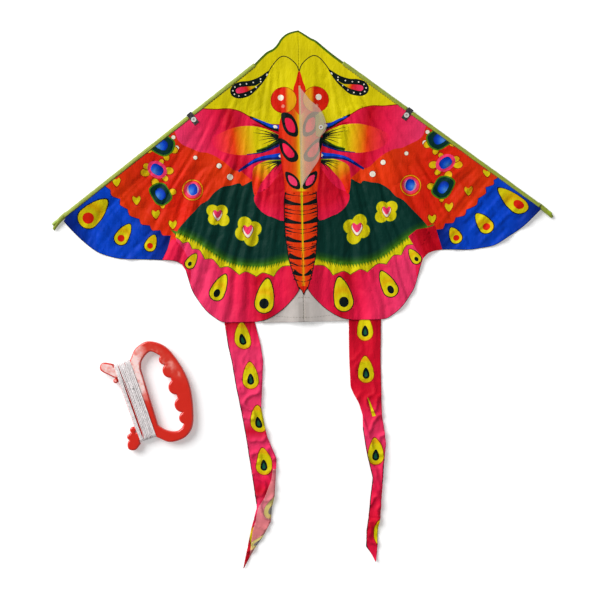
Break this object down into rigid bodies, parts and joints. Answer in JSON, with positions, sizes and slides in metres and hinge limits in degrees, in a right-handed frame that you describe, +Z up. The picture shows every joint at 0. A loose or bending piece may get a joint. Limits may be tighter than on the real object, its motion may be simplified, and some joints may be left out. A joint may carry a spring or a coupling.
{
  "type": "butterfly delta kite",
  "caption": "Delta kite with a butterfly sail, folding wings, a keel fin, ribbon tails, a hooked spreader and a hand winder wound with line.",
  "frame": {"origin": "on the ground under the centre seam, halfway between the nose and the tips of the tails", "axes": "+Y towards the nose, +X to the kite's right wing as seen from above, +Z up out of the printed face"},
  "size_m": [0.702, 0.754, 0.0164],
  "materials": {
    "sail_print": "satin",
    "tail_print": "satin",
    "sleeve_fabric": "satin",
    "back_fabric": "satin",
    "clear_film": "satin",
    "keel_film": "satin",
    "seam_tape": "satin",
    "glass_fibre_rod": "satin",
    "green_vinyl": "satin",
    "black_strap": "matte",
    "eyelet_metal": "polished",
    "black_fitting": "satin",
    "winder_plastic": "gloss",
    "line": "matte"
  },
  "bodies": {
    "root": {"left_inner_sail": "sail_print", "right_inner_sail": "sail_print", "spine_rod": "glass_fibre_rod", "spine_nose_cap": "green_vinyl", "spine_tail_cap": "green_vinyl", "spine_sleeve": "back_fabric", "nose_pocket": "back_fabric", "tail_pocket": "back_fabric", "clear_panel": "clear_film", "keel_seam_tape": "seam_tape"},
    "left_wing": {"left_wing_sail": "sail_print", "left_leading_edge_spar": "glass_fibre_rod", "left_spar_tip_cap": "green_vinyl", "left_spar_shoulder_cap": "green_vinyl", "left_upper_sleeve": "sleeve_fabric", "left_lower_sleeve": "sleeve_fabric", "left_tab": "black_strap", "left_eyelet": "eyelet_metal", "left_clear_panel_side": "clear_film"},
    "right_wing": {"right_wing_sail": "sail_print", "right_leading_edge_spar": "glass_fibre_rod", "right_spar_tip_cap": "green_vinyl", "right_spar_shoulder_cap": "green_vinyl", "right_upper_sleeve": "sleeve_fabric", "right_lower_sleeve": "sleeve_fabric", "right_tab": "black_strap", "right_eyelet": "eyelet_metal", "right_clear_panel_side": "clear_film"},
    "left_tail": {"left_tail": "tail_print"},
    "right_tail": {"right_tail": "tail_print"},
    "keel": {"keel": "keel_film", "keel_patch": "keel_film", "tow_eyelet": "eyelet_metal"},
    "spreader": {"spreader_rod": "glass_fibre_rod", "left_spreader_hook": "black_fitting", "right_spreader_hook": "black_fitting"},
    "winder": {"winder_handle": "winder_plastic", "line_winding": "line", "line_end_knot": "line"}
  },
  "joints": [
    {"name": "left_wing_fold", "type": "hinge", "parent": "root", "child": "left_wing", "pos_m": [-0.045, 0.16, 0.0086], "axis": [0, 1, 0], "range_deg": [0, 88]},
    {"name": "right_wing_fold", "type": "hinge", "parent": "root", "child": "right_wing", "pos_m": [0.045, 0.16, 0.0086], "axis": [0, -1, 0], "range_deg": [0, 88]},
    {"name": "keel_swing", "type": "hinge", "parent": "root", "child": "keel", "pos_m": [0, 0.2285, 0.0095], "axis": [0, -1, 0], "range_deg": [0, 180]},
    {"name": "left_tail_sway", "type": "hinge", "parent": "left_wing", "child": "left_tail", "pos_m": [-0.089, -0.027, 0.0075], "axis": [0, 0, 1], "range_deg": [-12, 12]},
    {"name": "right_tail_sway", "type": "hinge", "parent": "right_wing", "child": "right_tail", "pos_m": [0.086, -0.027, 0.0075], "axis": [0, 0, 1], "range_deg": [-12, 12]},
    {"name": "spreader_release", "type": "slide", "parent": "root", "child": "spreader", "axis": [0, -1, 0], "range_m": [0, 0.06]},
    {"name": "winder_lift", "type": "slide", "parent": "root", "child": "winder", "axis": [0, 0, 1], "range_m": [0, 0.1]}
  ]
}
